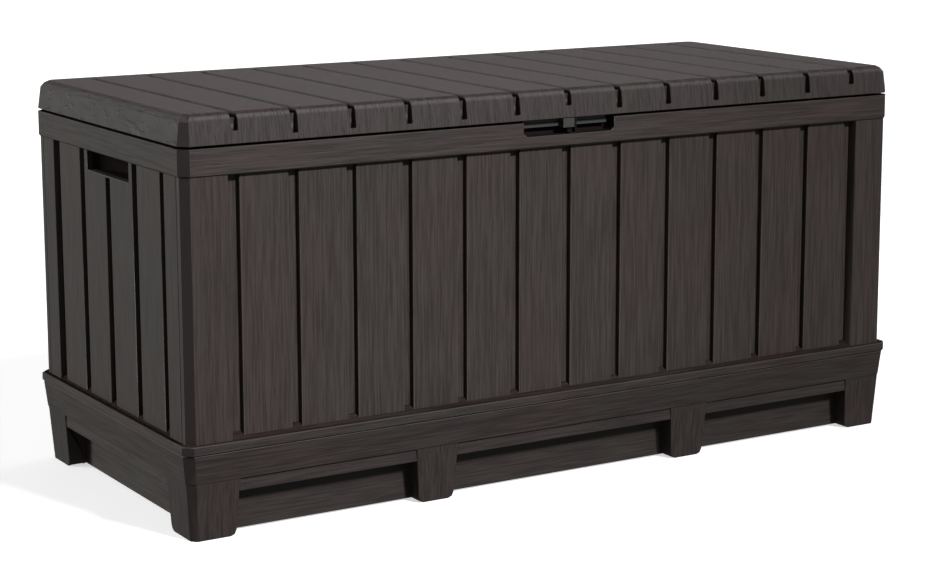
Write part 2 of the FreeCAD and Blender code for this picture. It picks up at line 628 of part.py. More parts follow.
def rest_pads():
    """Small pads under the liner that carry the closed lid on the rim."""
    pads = []
    for x in (-560.0, -200.0, 200.0, 560.0):
        y = -RIM_Y + RIM_WIDTH - 5.0
        pads += both_sides(block(x - 12.0, x + 12.0, y - 4.0, y + 4.0, RIM_TOP + 0.1, LINER_BOTTOM), Y_AXIS)
    return pads


def save(name, shape):
    """Move a piece to the box's frame and write its STEP file."""
    shape.translate(V(0, -ORIGIN_Y, 0))
    shape.exportStep(os.path.join("parts", name + ".step"))
    solids = shape.Solids
    print(name, len(solids), "solid(s)", round(shape.Volume / 1000.0, 1), "cm3", shape.isValid())


def main():
    """Build every piece of the box."""
    os.makedirs("parts", exist_ok=True)
    save("plinth", plinth())
    save("floor_panel", floor_panel())
    save("lower_frame", lower_frame())
    save("front_panel", front_panel())
    save("back_panel", back_panel())
    save("left_end_panel", left_end_panel())
    save("right_end_panel", mirrored(left_end_panel(), X_AXIS))
    save("left_handle_cup", left_handle_cup())
    save("right_handle_cup", mirrored(left_handle_cup(), X_AXIS))
    connector = corner_connector()
    save("corner_connector_front_left", connector.copy())
    save("corner_connector_front_right", mirrored(connector, X_AXIS))
    save("corner_connector_back_left", mirrored(connector, Y_AXIS))
    save("corner_connector_back_right", mirrored(mirrored(connector, X_AXIS), Y_AXIS))
    save("rim_frame", rim_frame())
    save("lock_keeper", lock_keeper())
    save("keeper_screws", Part.makeCompound(keeper_screws()))
    for name, x in zip(HINGE_NAMES, HINGE_X):
        save("hinge_base_" + name, hinge_base(x))
        save("hinge_pin_" + name, hinge_pin(x))
        save("hinge_leaf_" + name, hinge_leaf(x))
    save("hinge_base_screws", Part.makeCompound([s for x in HINGE_X for s in base_screws(x)]))
    save("hinge_leaf_screws", Part.makeCompound([s for x in HINGE_X for s in leaf_screws(x)]))
    save("lid_shell", lid_shell())
    save("lid_liner", lid_liner())
    save("pull_lip", pull_lip())
    save("lock_tab", lock_tab())
    save("lid_rest_pads", Part.makeCompound(rest_pads()))


main()
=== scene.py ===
"""Deck storage box in dark wood-look resin.

It has a footed plinth, slatted walls, a rim frame and a hinged slatted lid. Lengths are in metres
in the box's own frame: X runs along the length, the front faces -Y and the ground is z = 0.
"""

import logging
import math
from collections.abc import Callable, Iterable, Sequence
from dataclasses import dataclass, field
from enum import Enum

import bmesh
import bpy
from mathutils import Matrix, Vector


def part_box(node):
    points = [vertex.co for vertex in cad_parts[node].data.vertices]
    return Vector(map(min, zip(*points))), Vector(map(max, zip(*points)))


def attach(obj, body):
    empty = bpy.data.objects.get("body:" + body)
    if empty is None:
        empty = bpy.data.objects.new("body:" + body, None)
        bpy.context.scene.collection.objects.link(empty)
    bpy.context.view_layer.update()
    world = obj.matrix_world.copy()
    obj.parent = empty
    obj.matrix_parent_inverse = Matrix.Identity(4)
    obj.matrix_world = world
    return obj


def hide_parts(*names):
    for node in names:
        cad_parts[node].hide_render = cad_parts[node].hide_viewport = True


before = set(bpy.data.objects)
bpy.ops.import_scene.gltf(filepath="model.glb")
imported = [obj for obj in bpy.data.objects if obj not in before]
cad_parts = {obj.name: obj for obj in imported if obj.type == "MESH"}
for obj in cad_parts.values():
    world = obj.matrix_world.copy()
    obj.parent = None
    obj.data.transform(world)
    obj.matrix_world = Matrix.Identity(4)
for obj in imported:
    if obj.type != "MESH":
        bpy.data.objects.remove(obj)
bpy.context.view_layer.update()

log = logging.getLogger("deck_box")

Colour = tuple[float, float, float]
Point = tuple[float, float, float]

RIM_LOW, RIM_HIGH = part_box("rim_frame")
MIDDLE_Y = (RIM_LOW.y + RIM_HIGH.y) / 2      # the walls' middle, a little in front of the origin
HALF_LENGTH = RIM_HIGH.x
HALF_DEPTH = RIM_HIGH.y - MIDDLE_Y
HINGE_X = (-0.420, 0.0, 0.420)
HINGE_NAMES = ("left", "centre", "right")
FLAT = math.radians(0.5)                     # faces closer than this to one plane are joined
SHARP = math.radians(50.0)                   # edges bent more than this are eased
CREASE = math.radians(35.0)                  # edges bent more than this stay crisp in shading
MERGE = 1e-5                                 # points closer than this are one
SPUN_MERGE = 1e-6                            # the same, on turned shapes
FACE_WEIGHT = 80                             # how much wide faces count in a piece's shading
ALONG = 0.99                                 # least share of an edge's length along its axis
SQUARELY = 0.999                             # the same, for small fittings
FACING = 0.9                                 # least share of a face's normal along its axis
DIAGONAL = 0.55                              # least share along X and along Y at a cut corner


class Body(Enum):
    """Parts of the box that move against each other."""

    BOX = "box"
    LID = "lid"


class Grain(Enum):
    """Which way the moulded wood grain runs, as how strongly it varies along X, Y and Z."""

    LENGTH = (0.035, 1.0, 1.0)
    DEPTH = (1.0, 0.035, 1.0)
    HEIGHT = (1.0, 1.0, 0.035)
    SLAT = (1.0, 0.075, 0.05)                # along a lid slat and on down the front edge


class Slot(Enum):
    """Material slots of the record."""

    WALL = "wall_resin"
    FRAME = "frame_resin"
    LID = "lid_resin"
    INNER = "inner_resin"
    FITTING = "fitting_resin"
    PIN = "steel_pin"
    SCREW = "zinc_screw"
    RUBBER = "black_rubber"


# Node graphs

class Graph:
    """Adds shader nodes to a tree and wires them together."""

    def __init__(self, tree: bpy.types.NodeTree) -> None:
        """Keep the tree that the nodes go into."""
        self.tree = tree

    def add(self, kind: str, inputs: dict | None = None, **settings: object) -> bpy.types.Node:
        """Add one node.

        Args:
            kind: Node type, without the leading ShaderNode.
            inputs: Socket name or number, with a value or another node's output.
            settings: Properties of the node.

        Returns:
            The new node.
        """
        prefix = "" if kind.startswith("NodeGroup") else "ShaderNode"
        node = self.tree.nodes.new(prefix + kind)
        for name, value in settings.items():
            setattr(node, name, value)
        self.wire(node, inputs or {})
        return node

    def wire(self, node: bpy.types.Node, inputs: dict) -> None:
        """Set or link a node's inputs.

        Args:
            node: Node to wire.
            inputs: Socket name or number, with a value or another node's output.
        """
        for key, value in inputs.items():
            if isinstance(value, bpy.types.NodeSocket):
                self.tree.links.new(value, node.inputs[key])
            else:
                node.inputs[key].default_value = value

    def maths(self, operation: str, *values: object) -> bpy.types.NodeSocket:
        """One Math node's result."""
        return self.add("Math", dict(enumerate(values)), operation=operation).outputs[0]

    def noise(self, vector: bpy.types.NodeSocket, scale: float,
              detail: float) -> bpy.types.NodeSocket:
        """A noise texture's value at a vector."""
        inputs = {"Vector": vector, "Scale": scale, "Detail": detail, "Roughness": 0.6}
        return self.add("TexNoise", inputs).outputs[0]

    def blend(self, factor: object, first: object, second: object) -> bpy.types.NodeSocket:
        """Two colours mixed by a factor."""
        node = self.add("Mix", {0: factor, 6: first, 7: second}, data_type="RGBA")
        return node.outputs[2]

    def band(self, value: bpy.types.NodeSocket, low: float, high: float) -> bpy.types.NodeSocket:
        """A value spread smoothly over 0 to 1, from low to high."""
        inputs = {"Value": value, "From Min": low, "From Max": high}
        return self.add("MapRange", inputs, interpolation_type="SMOOTHSTEP").outputs[0]


class EffectGroup:
    """A shader effect that several materials share, built once as a node group."""

    name = ""
    takes: tuple[tuple[str, str], ...] = ()
    gives: tuple[tuple[str, str], ...] = ()

    @classmethod
    def tree(cls) -> bpy.types.NodeTree:
        """The effect's node group, built the first time it is asked for.

        Returns:
            The node group.
        """
        found = bpy.data.node_groups.get(cls.name)
        if found:
            return found
        tree = bpy.data.node_groups.new(cls.name, "ShaderNodeTree")
        for name, kind in cls.takes:
            tree.interface.new_socket(name=name, in_out="INPUT", socket_type="NodeSocket" + kind)
        for name, kind in cls.gives:
            tree.interface.new_socket(name=name, in_out="OUTPUT", socket_type="NodeSocket" + kind)
        graph = Graph(tree)
        entry = graph.add("NodeGroupInput")
        graph.wire(graph.add("NodeGroupOutput"), cls.effect(graph, entry.outputs))
        return tree

    @classmethod
    def effect(cls, graph: Graph, takes: bpy.types.NodeOutputs) -> dict:
        """Wire the effect and name what it gives."""
        raise NotImplementedError

    @classmethod
    def place(cls, graph: Graph, **inputs: object) -> bpy.types.Node:
        """Place the effect in a material with its own values.

        Args:
            graph: Graph of the material.
            inputs: Values or sockets for the group's inputs, by their names in small letters.

        Returns:
            The placed group.
        """
        node = graph.add("Group", node_tree=cls.tree())
        graph.wire(node, {name.capitalize(): value for name, value in inputs.items()})
        return node


class WoodGrain(EffectGroup):
    """Moulded wood grain: fine streaks, open pores, figure lines and slow colour patches."""

    name = "wood_grain"
    takes = (("Vector", "Vector"), ("Run", "Vector"), ("Dark", "Color"), ("Light", "Color"),
             ("Tint", "Color"), ("Gloss", "Float"))
    gives = (("Color", "Color"), ("Roughness", "Float"), ("Height", "Float"))
    streak_scale = 330.0
    streak_range = (0.30, 0.70)
    streak_roughness = 0.16
    pore_scale = 620.0
    pore_range = (0.60, 0.72)
    pore_tone = -0.35
    pore_height = -0.5
    swell_scale = 16.0
    figure_density = 90.0
    figure_range = (0.2, 1.0)
    figure_tone = -0.14
    figure_height = -0.18
    patch_scale = 5.0
    patch_range = (0.40, 0.62)

    @classmethod
    def effect(cls, graph: Graph, takes: bpy.types.NodeOutputs) -> dict:
        """Wire the grain.

        Args:
            graph: Graph of the group.
            takes: The group's inputs.

        Returns:
            Colour, roughness and height sockets by name.
        """
        along = graph.add("VectorMath", {0: takes["Vector"], 1: takes["Run"]},
                          operation="MULTIPLY").outputs[0]
        streaks = graph.noise(along, cls.streak_scale, 4.0)
        pores = graph.band(graph.noise(along, cls.pore_scale, 1.0), *cls.pore_range)
        swell = graph.noise(along, cls.swell_scale, 2.0)
        rings = graph.maths("SINE", graph.maths("MULTIPLY", swell, cls.figure_density))
        figure = graph.band(rings, *cls.figure_range)
        tone = graph.band(streaks, *cls.streak_range)
        tone = graph.maths("MULTIPLY_ADD", figure, cls.figure_tone, tone)
        tone = graph.maths("MULTIPLY_ADD", pores, cls.pore_tone, tone)
        patches = graph.band(graph.noise(takes["Vector"], cls.patch_scale, 2.0), *cls.patch_range)
        ground = graph.blend(patches, takes["Light"], takes["Tint"])
        colour = graph.blend(graph.maths("MINIMUM", graph.maths("MAXIMUM", tone, 0.0), 1.0),
                             takes["Dark"], ground)
        rough = graph.maths("MULTIPLY_ADD", streaks, cls.streak_roughness, takes["Gloss"])
        height = graph.maths("MULTIPLY_ADD", pores, cls.pore_height, streaks)
        height = graph.maths("MULTIPLY_ADD", figure, cls.figure_height, height)
        return {"Color": colour, "Roughness": rough, "Height": height}


class MouldedSkin(EffectGroup):
    """Fine pebbled skin of a smooth moulding, with faint marks of handling."""

    name = "moulded_skin"
    takes = (("Vector", "Vector"), ("Base", "Color"), ("Mark", "Color"), ("Gloss", "Float"))
    gives = (("Color", "Color"), ("Roughness", "Float"), ("Height", "Float"))
    pebble_scale = 900.0
    mark_scale = 9.0
    mark_range = (0.52, 0.78)
    mark_share = 0.45
    mark_roughness = 0.12

    @classmethod
    def effect(cls, graph: Graph, takes: bpy.types.NodeOutputs) -> dict:
        """Wire the skin.

        Args:
            graph: Graph of the group.
            takes: The group's inputs.

        Returns:
            Colour, roughness and height sockets by name.
        """
        cells = {"Vector": takes["Vector"], "Scale": cls.pebble_scale}
        pebbles = graph.add("TexVoronoi", cells).outputs[0]
        marks = graph.band(graph.noise(takes["Vector"], cls.mark_scale, 6.0), *cls.mark_range)
        share = graph.maths("MULTIPLY", marks, cls.mark_share)
        colour = graph.blend(share, takes["Base"], takes["Mark"])
        rough = graph.maths("MULTIPLY_ADD", marks, cls.mark_roughness, takes["Gloss"])
        return {"Color": colour, "Roughness": rough, "Height": pebbles}


# Finishes

def opaque(colour: Colour) -> tuple[float, float, float, float]:
    """A colour with full alpha."""
    return (*colour, 1.0)


@dataclass(frozen=True)
class Finish:
    """What every finish has: a name and a way to make its material."""

    name: str

    def material(self) -> bpy.types.Material:
        """The finish's material, made the first time it is asked for.

        Returns:
            The material.
        """
        found = bpy.data.materials.get(self.name)
        if found:
            return found
        made = bpy.data.materials.new(self.name)
        made.use_nodes = True
        graph = Graph(made.node_tree)
        shader = made.node_tree.nodes["Principled BSDF"]
        place = graph.add("TexCoord").outputs["Object"]
        self.dress(graph, shader, place)
        return made

    def dress(self, graph: Graph, shader: bpy.types.Node, place: bpy.types.NodeSocket) -> None:
        """Wire the finish into the material's shader."""
        raise NotImplementedError

    @staticmethod
    def emboss(graph: Graph, shader: bpy.types.Node, height: bpy.types.NodeSocket,
               depth: float, strength: float) -> None:
        """Turn a height into the shader's normal."""
        bump = graph.add("Bump", {"Height": height, "Distance": depth, "Strength": strength})
        graph.wire(shader, {"Normal": bump.outputs[0]})


@dataclass(frozen=True)
class WoodResin(Finish):
    """Dark resin moulded with a wood grain."""

    grain: Grain = Grain.HEIGHT
    dark: Colour = (0.028, 0.0185, 0.017)
    light: Colour = (0.056, 0.0385, 0.0365)
    tint: Colour = (0.050, 0.0415, 0.0355)
    gloss: float = 0.50
    relief: float = 0.0005                   # how deep the grain is
    shine: float = 0.45
    stamp: float = 0.55                      # how clearly its depth shows

    @classmethod
    def deeper(cls, name: str, grain: Grain, share: float, **settings: float) -> "WoodResin":
        """The same resin in a deeper shade.

        Args:
            name: Name of the finish.
            grain: Which way its grain runs.
            share: What its colours are multiplied by.
            settings: Other fields that differ.

        Returns:
            The finish.
        """
        shades = (tuple(part * share for part in colour)
                  for colour in (cls.dark, cls.light, cls.tint))
        return cls(name, grain, *shades, **settings)

    def dress(self, graph: Graph, shader: bpy.types.Node, place: bpy.types.NodeSocket) -> None:
        """Wire the grain into the shader.

        Args:
            graph: Graph of the material.
            shader: Its Principled shader.
            place: Where a point lies on the box.
        """
        grain = WoodGrain.place(graph, vector=place, run=self.grain.value, dark=opaque(self.dark),
                                light=opaque(self.light), tint=opaque(self.tint), gloss=self.gloss)
        graph.wire(shader, {"Base Color": grain.outputs["Color"],
                            "Roughness": grain.outputs["Roughness"],
                            "Specular IOR Level": self.shine})
        self.emboss(graph, shader, grain.outputs["Height"], self.relief, self.stamp)


@dataclass(frozen=True)
class SmoothResin(Finish):
    """Plain moulded resin with a fine pebbled skin."""

    base: Colour = (0.034, 0.028, 0.026)
    mark: Colour = (0.060, 0.054, 0.050)
    gloss: float = 0.50
    shine: float = 0.45
    relief: float = 0.0002                   # how deep the pebbles are
    stamp: float = 0.35                      # how clearly their depth shows

    def dress(self, graph: Graph, shader: bpy.types.Node, place: bpy.types.NodeSocket) -> None:
        """Wire the skin into the shader.

        Args:
            graph: Graph of the material.
            shader: Its Principled shader.
            place: Where a point lies on the box.
        """
        skin = MouldedSkin.place(graph, vector=place, base=opaque(self.base),
                                 mark=opaque(self.mark), gloss=self.gloss)
        graph.wire(shader, {"Base Color": skin.outputs["Color"],
                            "Roughness": skin.outputs["Roughness"],
                            "Specular IOR Level": self.shine})
        self.emboss(graph, shader, skin.outputs["Height"], self.relief, self.stamp)


@dataclass(frozen=True)
class DrawnSteel(Finish):
    """Drawn or plated steel with fine lines along X."""

    colour: Colour = (0.56, 0.56, 0.57)
    dull: Colour = (0.40, 0.40, 0.40)
    gloss: float = 0.28
    run: Point = (0.1, 1.0, 1.0)
    line_scale: float = 1500.0
    line_roughness: float = 0.2
    relief: float = 0.0001                   # how deep the lines are
    stamp: float = 0.3                       # how clearly their depth shows

    def dress(self, graph: Graph, shader: bpy.types.Node, place: bpy.types.NodeSocket) -> None:
        """Wire the metal into the shader.

        Args:
            graph: Graph of the material.
            shader: Its Principled shader.
            place: Where a point lies on the box.
        """
        drawn = graph.add("VectorMath", {0: place, 1: self.run}, operation="MULTIPLY").outputs[0]
        lines = graph.noise(drawn, self.line_scale, 2.0)
        colour = graph.blend(lines, opaque(self.dull), opaque(self.colour))
        rough = graph.maths("MULTIPLY_ADD", lines, self.line_roughness, self.gloss)
        graph.wire(shader, {"Base Color": colour, "Metallic": 1.0, "Roughness": rough})
        self.emboss(graph, shader, lines, self.relief, self.stamp)


VERTICAL = WoodResin("resin_grain_upright", grain=Grain.HEIGHT)
LENGTHWISE = WoodResin("resin_grain_lengthwise", grain=Grain.LENGTH)
CROSSWISE = WoodResin("resin_grain_crosswise", grain=Grain.DEPTH)
SLATWISE = WoodResin.deeper("resin_grain_slats", Grain.SLAT, 0.86, relief=0.0016)
BASE_LENGTHWISE = WoodResin.deeper("resin_base_lengthwise", Grain.LENGTH, 0.80)
BASE_VERTICAL = WoodResin.deeper("resin_base_upright", Grain.HEIGHT, 0.84)
INNER = SmoothResin("resin_smooth")
# Painted shade: the sills and the lip's top ledge get the grain at three quarters of its colour and
# no sheen, darker to stand for the shade on these upward faces.
SHADE_PAINTED_LEDGE = WoodResin.deeper("resin_grain_ledge_painted_shade", Grain.LENGTH, 0.75, shine=0.0)
# Painted shade: near-black resin without sheen, put inside the finger recess, the lid's slots, the
# handle cups and on the lock keeper to stand for the shade there.
PAINTED_SHADE = SmoothResin("resin_recess_painted_shade", base=(0.016, 0.012, 0.012), mark=(0.026, 0.022, 0.021),
                     gloss=0.60, shine=0.0)
# Painted shade: darker plain resin on the cut corners' faces, standing for the shade that falls on
# them.
SHADE_PAINTED_CORNER = SmoothResin("resin_corner_painted_shade", base=(0.025, 0.0175, 0.0165), mark=(0.032, 0.024, 0.022))
FITTING = SmoothResin("resin_fitting", base=(0.050, 0.053, 0.051), mark=(0.070, 0.073, 0.070),
                      gloss=0.42)
RUBBER = SmoothResin("rubber_black", base=(0.012, 0.012, 0.012), mark=(0.03, 0.03, 0.03), gloss=0.7)
STEEL = DrawnSteel("steel_pin")
ZINC = DrawnSteel("zinc_plated", colour=(0.60, 0.59, 0.55), dull=(0.45, 0.44, 0.41), gloss=0.34)
BLACKENED = DrawnSteel("blackened_steel", colour=(0.045, 0.045, 0.047), dull=(0.028, 0.028, 0.030),
                       gloss=0.50)


# Meshes

def inset_of(point: Vector) -> float:
    """How far a point lies inside the rim's outline, seen from above; negative outside it."""
    return min(HALF_LENGTH - abs(point.x), HALF_DEPTH - abs(point.y - MIDDLE_Y))


def side_grain(middle: Vector) -> int:
    """Number of a frame's finish: 1, crosswise, at its ends and 0, lengthwise, elsewhere."""
    return 1 if HALF_LENGTH - abs(middle.x) < HALF_DEPTH - abs(middle.y - MIDDLE_Y) else 0


def faces_corner(normal: Vector) -> bool:
    """Whether a face looks out diagonally, as the cut corners of the box do."""
    return min(abs(normal.x), abs(normal.y)) > DIAGONAL


def clean_copy(node: str) -> bmesh.types.BMesh:
    """A CAD node's mesh, merged and with its flat faces joined.

    Args:
        node: Name of the CAD node.

    Returns:
        A new mesh, to be freed by whoever asked for it.
    """
    bm = bmesh.new()
    bm.from_mesh(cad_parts[node].data)
    bmesh.ops.remove_doubles(bm, verts=bm.verts, dist=MERGE)
    bmesh.ops.dissolve_limit(bm, angle_limit=FLAT, verts=bm.verts, edges=bm.edges)
    bm.normal_update()
    return bm


def ease(bm: bmesh.types.BMesh, radius: float, wanted: Callable[[Vector, Vector], bool],
         segments: int = 3) -> None:
    """Round the outer edges of a mesh.

    Args:
        bm: Mesh to work on.
        radius: Radius of the rounding.
        wanted: Says whether an edge is rounded, from its middle and its direction.
        segments: Faces across the rounding.
    """
    edges = []
    for edge in bm.edges:
        if not edge.is_manifold or edge.calc_face_angle_signed() < SHARP:
            continue
        start, end = (v.co for v in edge.verts)
        if wanted((start + end) / 2, (end - start).normalized()):
            edges.append(edge)
    bmesh.ops.bevel(bm, geom=edges, offset=radius, offset_type="OFFSET", segments=segments,
                    profile=0.5, affect="EDGES", clamp_overlap=False, material=-1)
    bm.normal_update()


def block(bm: bmesh.types.BMesh, low: Point, high: Point) -> None:
    """Add a box between two corners.

    Args:
        bm: Mesh to add to.
        low: Its lowest corner.
        high: Its highest corner.
    """
    size = Vector(high) - Vector(low)
    middle = (Vector(high) + Vector(low)) / 2
    place = Matrix.Translation(middle) @ Matrix.Diagonal((*size, 1.0))
    bmesh.ops.create_cube(bm, size=1.0, matrix=place)


def lathe(bm: bmesh.types.BMesh, profile: Sequence[tuple[float, float]], steps: int,
          place: Matrix) -> None:
    """Add a turned shape.

    Args:
        bm: Mesh to add to.
        profile: (radius, height) points from one end to the other, starting and ending at radius 0.
        steps: Faces round the shape.
        place: Where it goes; it is turned about its own Z.
    """
    line = [bm.verts.new((radius, 0.0, height)) for radius, height in profile]
    edges = [bm.edges.new(pair) for pair in zip(line, line[1:])]
    spun = bmesh.ops.spin(bm, geom=line + edges, cent=(0, 0, 0), axis=(0, 0, 1), dvec=(0, 0, 0),
                          angle=math.tau, steps=steps, use_merge=True)
    bm.verts.ensure_lookup_table()
    reached = set(line) | {g for g in spun["geom_last"] if isinstance(g, bmesh.types.BMVert)}
    grown = list(reached)
    while grown:
        for edge in grown.pop().link_edges:
            for vert in edge.verts:
                if vert not in reached:
                    reached.add(vert)
                    grown.append(vert)
    verts = [v for v in reached if v.is_valid]
    bmesh.ops.transform(bm, matrix=place, verts=verts)
    bmesh.ops.remove_doubles(bm, verts=verts, dist=SPUN_MERGE)


def keep_piece(name: str, bm: bmesh.types.BMesh, body: Body, finishes: Sequence[Finish],
               stands_for: Iterable[str], crease: float = CREASE) -> bpy.types.Object:
    """Turn a finished mesh into a piece of the box.

    Args:
        name: Name of the piece.
        bm: Its mesh, freed here.
        body: Part of the box that it moves with.
        finishes: Finishes, in the order of the faces' material numbers.
        stands_for: CAD nodes that it replaces.
        crease: Edges bent more than this stay crisp in shading.

    Returns:
        The piece's object.
    """
    mesh = bpy.data.meshes.new(name)
    bm.to_mesh(mesh)
    bm.free()
    mesh.shade_smooth()
    mesh.set_sharp_from_angle(angle=crease)
    for finish in finishes:
        mesh.materials.append(finish.material())
    piece = bpy.data.objects.new(name, mesh)
    bpy.context.scene.collection.objects.link(piece)
    even = piece.modifiers.new("even_shading", "WEIGHTED_NORMAL")
    even.keep_sharp = True
    even.weight = FACE_WEIGHT
    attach(piece, body.value)
    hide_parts(*stands_for)
    log.info("%s: %d faces on %s", name, len(mesh.polygons), body.value)
    return piece


@dataclass
class Moulding:
    """A moulded piece worked up from its own solid: cleaned, eased at its edges and dressed."""

    node: str
    body: Body = Body.BOX
    slot: Slot = Slot.FRAME
    radius: float = 0.0010
    segments: int = 3
    finishes: tuple[Finish, ...] = (VERTICAL,)
    crease: float = CREASE
    paint_corner_shade: bool = False

    def eased(self, middle: Vector, way: Vector) -> bool:
        """Whether an edge is rounded: here, every edge."""
        return True

    def finish_at(self, middle: Vector, normal: Vector) -> int:
        """Number of the finish on a face: here, the first."""
        return 0

    def build(self) -> bpy.types.Object:
        """Make the piece.

        Returns:
            The piece's object.
        """
        bm = clean_copy(self.node)
        ease(bm, self.radius, self.eased, self.segments)
        for face in bm.faces:
            # Faces at the cut corners get the extra corner finish, painted shade that darkens them.
            shaded_corner = self.paint_corner_shade and faces_corner(face.normal)
            face.material_index = (len(self.finishes) if shaded_corner
                                   else self.finish_at(face.calc_center_median(), face.normal))
        finishes = (*self.finishes, SHADE_PAINTED_CORNER) if self.paint_corner_shade else self.finishes
        return keep_piece(self.node + "_moulding", bm, self.body, finishes,
                          [self.node], self.crease)


# Plinth, frames and walls

@dataclass
class Plinth(Moulding):
    """Base with a sloped band over eight feet and set-back skirts between them."""

    node: str = "plinth"
    radius: float = 0.0014
    paint_corner_shade: bool = True
    finishes: tuple[Finish, ...] = (BASE_LENGTHWISE, CROSSWISE, BASE_VERTICAL)
    band_bottom: float = 0.0845
    strip_inset: float = 0.0033
    foot_inset: float = 0.0085
    skirt_inset: float = 0.030
    strip_reach: float = 0.0002              # how near to strip_inset a strip's face lies
    upright: float = 0.01                    # most that an upright face leans

    def eased(self, middle: Vector, way: Vector) -> bool:
        """Round the band and the outer edges of the feet."""
        return inset_of(middle) < self.foot_inset

    def finish_at(self, middle: Vector, normal: Vector) -> int:
        """Number of the finish on a face.

        Args:
            middle: Middle of the face.
            normal: Which way it faces.

        Returns:
            2, upright grain, on the feet; 0 or 1, level grain, on the band, strips and skirts.
        """
        level = 1 if abs(normal.x) > abs(normal.y) else 0
        if middle.z > self.band_bottom:
            return level
        inset = inset_of(middle)
        on_strip = (abs(inset - self.strip_inset) < self.strip_reach
                    and abs(normal.z) < self.upright)
        return level if on_strip or inset > self.skirt_inset else 2


@dataclass
class LowerFrame(Moulding):
    """Lip between the walls and the plinth."""

    node: str = "lower_frame"
    paint_corner_shade: bool = True
    finishes: tuple[Finish, ...] = (BASE_LENGTHWISE, CROSSWISE, SHADE_PAINTED_LEDGE)
    outermost: float = -0.0045

    def eased(self, middle: Vector, way: Vector) -> bool:
        """Round the edges that stand well outside the rim's outline."""
        return inset_of(middle) < self.outermost

    def finish_at(self, middle: Vector, normal: Vector) -> int:
        """Grain along each side, and the darker ledge finish of painted shade on top."""
        return 2 if normal.z > FACING else side_grain(middle)


@dataclass
class SlattedWall(Moulding):
    """Wall of upright planks between hollow stiles."""

    slot: Slot = Slot.WALL
    radius: float = 0.0012
    paint_corner_shade: bool = True
    finishes: tuple[Finish, ...] = (VERTICAL, SHADE_PAINTED_LEDGE)
    groove_floor: float = 0.0165
    sill_top: float = 0.160
    sill_slope: float = 0.2                  # least share of a sill's normal that is upward
    window_half: float = 0.080
    window_bottom: float = 0.484
    window_top: float = RIM_LOW.z - 0.001    # just short of the rim's own edges

    def eased(self, middle: Vector, way: Vector) -> bool:
        """Whether an edge is rounded: the planks' and stiles' upright edges, and the handle window.

        Args:
            middle: Middle of the edge.
            way: Its direction.

        Returns:
            True where it is.
        """
        outside = inset_of(middle) < self.groove_floor
        at_window = (abs(middle.y - MIDDLE_Y) < self.window_half
                     and self.window_bottom < middle.z < self.window_top)
        return outside and (abs(way.z) > ALONG or at_window)

    def finish_at(self, middle: Vector, normal: Vector) -> int:
        """The darker ledge finish of painted shade on the sills at the feet of the grooves, grain
        elsewhere.
        """
        return 1 if normal.z > self.sill_slope and middle.z < self.sill_top else 0


@dataclass
class RimFrame(Moulding):
    """Top frame with the finger recess in its front."""

    node: str = "rim_frame"
    paint_corner_shade: bool = True
    finishes: tuple[Finish, ...] = (LENGTHWISE, CROSSWISE, PAINTED_SHADE)
    recess_half: float = 0.082
    recess_bottom: float = 0.5335
    mouth: float = 0.002
    outer_inset: float = 0.0035

    def eased(self, middle: Vector, way: Vector) -> bool:
        """Round the outer edges and the mouth of the recess."""
        return inset_of(middle) < self.outer_inset

    def finish_at(self, middle: Vector, normal: Vector) -> int:
        """Number of the finish on a face.

        Args:
            middle: Middle of the face.
            normal: Which way it faces.

        Returns:
            2, the near-black finish of painted shade, inside the finger recess; the grain along its
            side elsewhere.
        """
        in_recess = (abs(middle.x) < self.recess_half and middle.y < 0.0
                     and middle.z > self.recess_bottom and inset_of(middle) > self.mouth)
        return 2 if in_recess else side_grain(middle)


@dataclass
class HandleCup(Moulding):
    """Curved cup behind an end wall's handle window."""

    slot: Slot = Slot.INNER
    radius: float = 0.0008
    # the cup's inside is painted shade: the near-black finish stands for the shade in the pocket
    finishes: tuple[Finish, ...] = (PAINTED_SHADE,)

    def eased(self, middle: Vector, way: Vector) -> bool:
        """Round the long straight edges only."""
        return abs(way.y) > ALONG


@dataclass
class FloorPanel(Moulding):
    """Floor plate on its ribs."""

    node: str = "floor_panel"
    slot: Slot = Slot.INNER
    finishes: tuple[Finish, ...] = (INNER,)
    plate: float = 0.018

    def eased(self, middle: Vector, way: Vector) -> bool:
        """Round the plate's upper edges."""
        return middle.z > self.plate


# Lid

@dataclass
class LidShell(Moulding):
    """Slatted lid with leaning sides and notched front edge."""

    node: str = "lid_shell"
    body: Body = Body.LID
    slot: Slot = Slot.LID
    radius: float = 0.0009
    paint_corner_shade: bool = True
    finishes: tuple[Finish, ...] = (SLATWISE, PAINTED_SHADE)
    crease: float = math.radians(24.0)       # keeps the top's sloping border crisp
    top: float = 0.6015
    side_inset: float = 0.0105
    slot_low: float = 0.5930
    slot_high: float = 0.6000

    def eased(self, middle: Vector, way: Vector) -> bool:
        """Round the slats' edges, the notches and the outer edges."""
        return middle.z > self.top or inset_of(middle) < self.side_inset

    def finish_at(self, middle: Vector, normal: Vector) -> int:
        """The near-black finish of painted shade inside the slots, grain elsewhere."""
        in_slot = self.slot_low < middle.z < self.slot_high and inset_of(middle) > self.side_inset
        return 1 if in_slot and max(abs(normal.x), normal.z) > FACING else 0


@dataclass
class LidLiner(Moulding):
    """Flat inner skin of the lid."""

    node: str = "lid_liner"
    body: Body = Body.LID
    slot: Slot = Slot.INNER
    finishes: tuple[Finish, ...] = (INNER,)
    underside: float = 0.5645
    rim_inset: float = 0.02

    def eased(self, middle: Vector, way: Vector) -> bool:
        """Round the lower outer edges."""
        return middle.z < self.underside and inset_of(middle) < self.rim_inset


# Fittings

@dataclass
class Fitting(Moulding):
    """Small solid moulding, eased all over apart from its bores."""

    slot: Slot = Slot.FITTING
    radius: float = 0.0005
    segments: int = 2
    finishes: tuple[Finish, ...] = (FITTING,)

    def eased(self, middle: Vector, way: Vector) -> bool:
        """Round edges that run squarely along an axis."""
        return max(abs(way.x), abs(way.y), abs(way.z)) > SQUARELY


